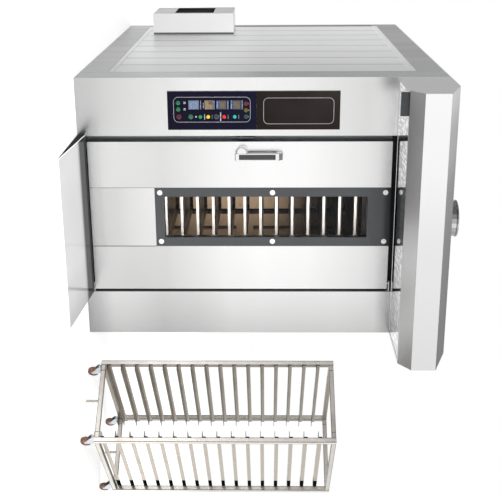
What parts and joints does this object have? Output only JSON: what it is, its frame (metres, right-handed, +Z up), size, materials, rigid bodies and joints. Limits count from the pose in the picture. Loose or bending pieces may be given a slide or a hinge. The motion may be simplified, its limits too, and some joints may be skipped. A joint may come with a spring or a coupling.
{
  "type": "rotating rack oven",
  "caption": "Bakery rack oven with canopy hood, window door and control column, a loaded rack on its turntable and a separate tray trolley on swivel casters.",
  "frame": {"origin": "on the floor at the centre of the oven body's footprint", "axes": "+Z up, +Y towards the rear, the door and controls face -Y, +X to the right of the door"},
  "size_m": [3.2096, 3.475, 2.5183],
  "materials": {
    "front_steel": "satin",
    "side_steel": "satin",
    "hood_steel": "satin",
    "polished_steel": "polished",
    "dark_steel": "satin",
    "rack_steel": "satin",
    "zinc": "satin",
    "iron": "rough",
    "heat_steel": "heat tinted",
    "black_panel": "gloss",
    "navy_panel": "gloss",
    "grip": "ribbed",
    "seal": "matte",
    "glass": "clear",
    "caster_tread": "satin",
    "burner_red": "satin",
    "white_paint": "satin",
    "display": "gloss",
    "timer_tan": "gloss",
    "keypad_blue": "satin",
    "teal": "gloss",
    "red": "gloss",
    "black_button": "gloss",
    "yellow": "gloss",
    "green": "gloss",
    "dark_green": "gloss",
    "dark_red": "gloss",
    "amber": "gloss"
  },
  "bodies": {
    "oven": {"base_frame": "dark_steel", "chamber_shell": "heat_steel", "left_side_cladding": "side_steel", "right_side_cladding": "side_steel", "rear_cladding": "side_steel", "roof_panel": "side_steel", "left_front_column": "front_steel", "right_front_column": "front_steel", "hood_shell": "hood_steel", "hood_underside_panel": "polished_steel", "flue_collar": "hood_steel", "entry_ramp": "polished_steel", "upper_control_plate": "black_panel", "lower_control_plate": "navy_panel", "burner_cover": "white_paint", "burner": "burner_red", "heat_exchanger": "heat_steel", "fan_motor": "iron", "rack_gearmotor": "iron", "drive_chain": "iron", "strike_plate": "dark_steel", "upper_temperature_display": "display", "lower_temperature_display": "display", "baking_timer": "timer_tan", "programme_keypad": "keypad_blue", "heating_lamp": "dark_red", "fan_lamp": "amber", "power_lamp": "dark_green"},
    "turntable": {"turntable": "dark_steel", "loaded_rack": "rack_steel"},
    "drive_sprocket": {"drive_sprocket": "iron"},
    "circulation_fan": {"circulation_fan": "zinc"},
    "door": {"door_core": "front_steel", "door_skin": "front_steel", "window_frame": "dark_steel", "outer_glass": "glass", "inner_glass": "glass", "door_gasket": "seal", "handle_escutcheon": "polished_steel"},
    "handle": {"handle_lever": "polished_steel", "handle_grip": "grip"},
    "latch_bolt": {"latch_bolt": "polished_steel"},
    "light_button": {"light_button": "teal"},
    "stop_button": {"stop_button": "red"},
    "buzzer_button": {"buzzer_button": "black_button"},
    "steam_button": {"steam_button": "yellow"},
    "start_button": {"start_button": "green"},
    "damper_button": {"damper_button": "dark_green"},
    "reset_button": {"reset_button": "dark_red"},
    "burner_switch": {"burner_switch": "green"},
    "rotation_switch": {"rotation_switch": "green"},
    "trolley": {"trolley_frame": "rack_steel"},
    "front_left_fork": {"front_left_fork": "zinc"},
    "front_left_wheel": {"front_left_wheel": "caster_tread"},
    "front_right_fork": {"front_right_fork": "zinc"},
    "front_right_wheel": {"front_right_wheel": "caster_tread"},
    "rear_left_fork": {"rear_left_fork": "zinc"},
    "rear_left_wheel": {"rear_left_wheel": "caster_tread"},
    "rear_right_fork": {"rear_right_fork": "zinc"},
    "rear_right_wheel": {"rear_right_wheel": "caster_tread"}
  },
  "joints": [
    {"name": "door_hinge", "type": "hinge", "parent": "oven", "child": "door", "pos_m": [0.529, -1.395, 1.05], "axis": [0, 0, 1], "range_deg": [0, 110]},
    {"name": "handle_turn", "type": "hinge", "parent": "door", "child": "handle", "pos_m": [-0.407, -1.46, 1.072], "axis": [0, 1, 0], "range_deg": [0, 75]},
    {"name": "latch_slide", "type": "slide", "parent": "door", "child": "latch_bolt", "axis": [1, 0, 0], "range_m": [0, 0.012]},
    {"name": "turntable_spin", "type": "hinge", "parent": "oven", "child": "turntable", "pos_m": [0.046, -0.71, 0.03], "axis": [0, 0, 1], "continuous": true},
    {"name": "drive_sprocket_spin", "type": "hinge", "parent": "oven", "child": "drive_sprocket", "pos_m": [-0.767, -0.71, 0.03], "axis": [0, 0, 1], "continuous": true},
    {"name": "fan_spin", "type": "hinge", "parent": "oven", "child": "circulation_fan", "pos_m": [0.046, 0.265, 1.98], "axis": [0, 0, 1], "continuous": true},
    {"name": "light_button_press", "type": "slide", "parent": "oven", "child": "light_button", "axis": [0, 1, 0], "range_m": [0, 0.004], "stiffness_N_per_m": 500},
    {"name": "stop_button_press", "type": "slide", "parent": "oven", "child": "stop_button", "axis": [0, 1, 0], "range_m": [0, 0.004], "stiffness_N_per_m": 500},
    {"name": "buzzer_button_press", "type": "slide", "parent": "oven", "child": "buzzer_button", "axis": [0, 1, 0], "range_m": [0, 0.004], "stiffness_N_per_m": 500},
    {"name": "steam_button_press", "type": "slide", "parent": "oven", "child": "steam_button", "axis": [0, 1, 0], "range_m": [0, 0.004], "stiffness_N_per_m": 500},
    {"name": "start_button_press", "type": "slide", "parent": "oven", "child": "start_button", "axis": [0, 1, 0], "range_m": [0, 0.004], "stiffness_N_per_m": 500},
    {"name": "damper_button_press", "type": "slide", "parent": "oven", "child": "damper_button", "axis": [0, 1, 0], "range_m": [0, 0.004], "stiffness_N_per_m": 500},
    {"name": "reset_button_press", "type": "slide", "parent": "oven", "child": "reset_button", "axis": [0, 1, 0], "range_m": [0, 0.004], "stiffness_N_per_m": 500},
    {"name": "burner_switch_turn", "type": "hinge", "parent": "oven", "child": "burner_switch", "pos_m": [-0.724, -1.44, 0.665], "axis": [0, 1, 0], "range_deg": [-45, 45]},
    {"name": "rotation_switch_turn", "type": "hinge", "parent": "oven", "child": "rotation_switch", "pos_m": [-0.683, -1.44, 0.665], "axis": [0, 1, 0], "range_deg": [-45, 45]},
    {"name": "trolley_roll", "type": "slide", "parent": "oven", "child": "trolley", "axis": [1, 0, 0], "range_m": [0, 0.5]},
    {"name": "front_left_swivel", "type": "hinge", "parent": "trolley", "child": "front_left_fork", "pos_m": [1.08392, -1.58731, 0.09], "axis": [0, 0, 1], "continuous": true},
    {"name": "front_left_roll", "type": "hinge", "parent": "front_left_fork", "child": "front_left_wheel", "pos_m": [1.11299, -1.57394, 0.0375], "axis": [-0.4179, 0.9085, 0], "continuous": true},
    {"name": "front_right_swivel", "type": "hinge", "parent": "trolley", "child": "front_right_fork", "pos_m": [1.3958, -1.99083, 0.09], "axis": [0, 0, 1], "continuous": true},
    {"name": "front_right_roll", "type": "hinge", "parent": "front_right_fork", "child": "front_right_wheel", "pos_m": [1.42487, -1.97746, 0.0375], "axis": [-0.4179, 0.9085, 0], "continuous": true},
    {"name": "rear_left_swivel", "type": "hinge", "parent": "trolley", "child": "rear_left_fork", "pos_m": [1.7802, -1.04917, 0.09], "axis": [0, 0, 1], "continuous": true},
    {"name": "rear_left_roll", "type": "hinge", "parent": "rear_left_fork", "child": "rear_left_wheel", "pos_m": [1.80927, -1.03579, 0.0375], "axis": [-0.4179, 0.9085, 0], "continuous": true},
    {"name": "rear_right_swivel", "type": "hinge", "parent": "trolley", "child": "rear_right_fork", "pos_m": [2.09208, -1.45269, 0.09], "axis": [0, 0, 1], "continuous": true},
    {"name": "rear_right_roll", "type": "hinge", "parent": "rear_right_fork", "child": "rear_right_wheel", "pos_m": [2.12115, -1.43932, 0.0375], "axis": [-0.4179, 0.9085, 0], "continuous": true}
  ],
  "couplings": [
    {"joint": "latch_slide", "follows": "handle_turn", "m_per_rad": 0.0091673},
    {"joint": "drive_sprocket_spin", "follows": "turntable_spin", "ratio": 4}
  ]
}
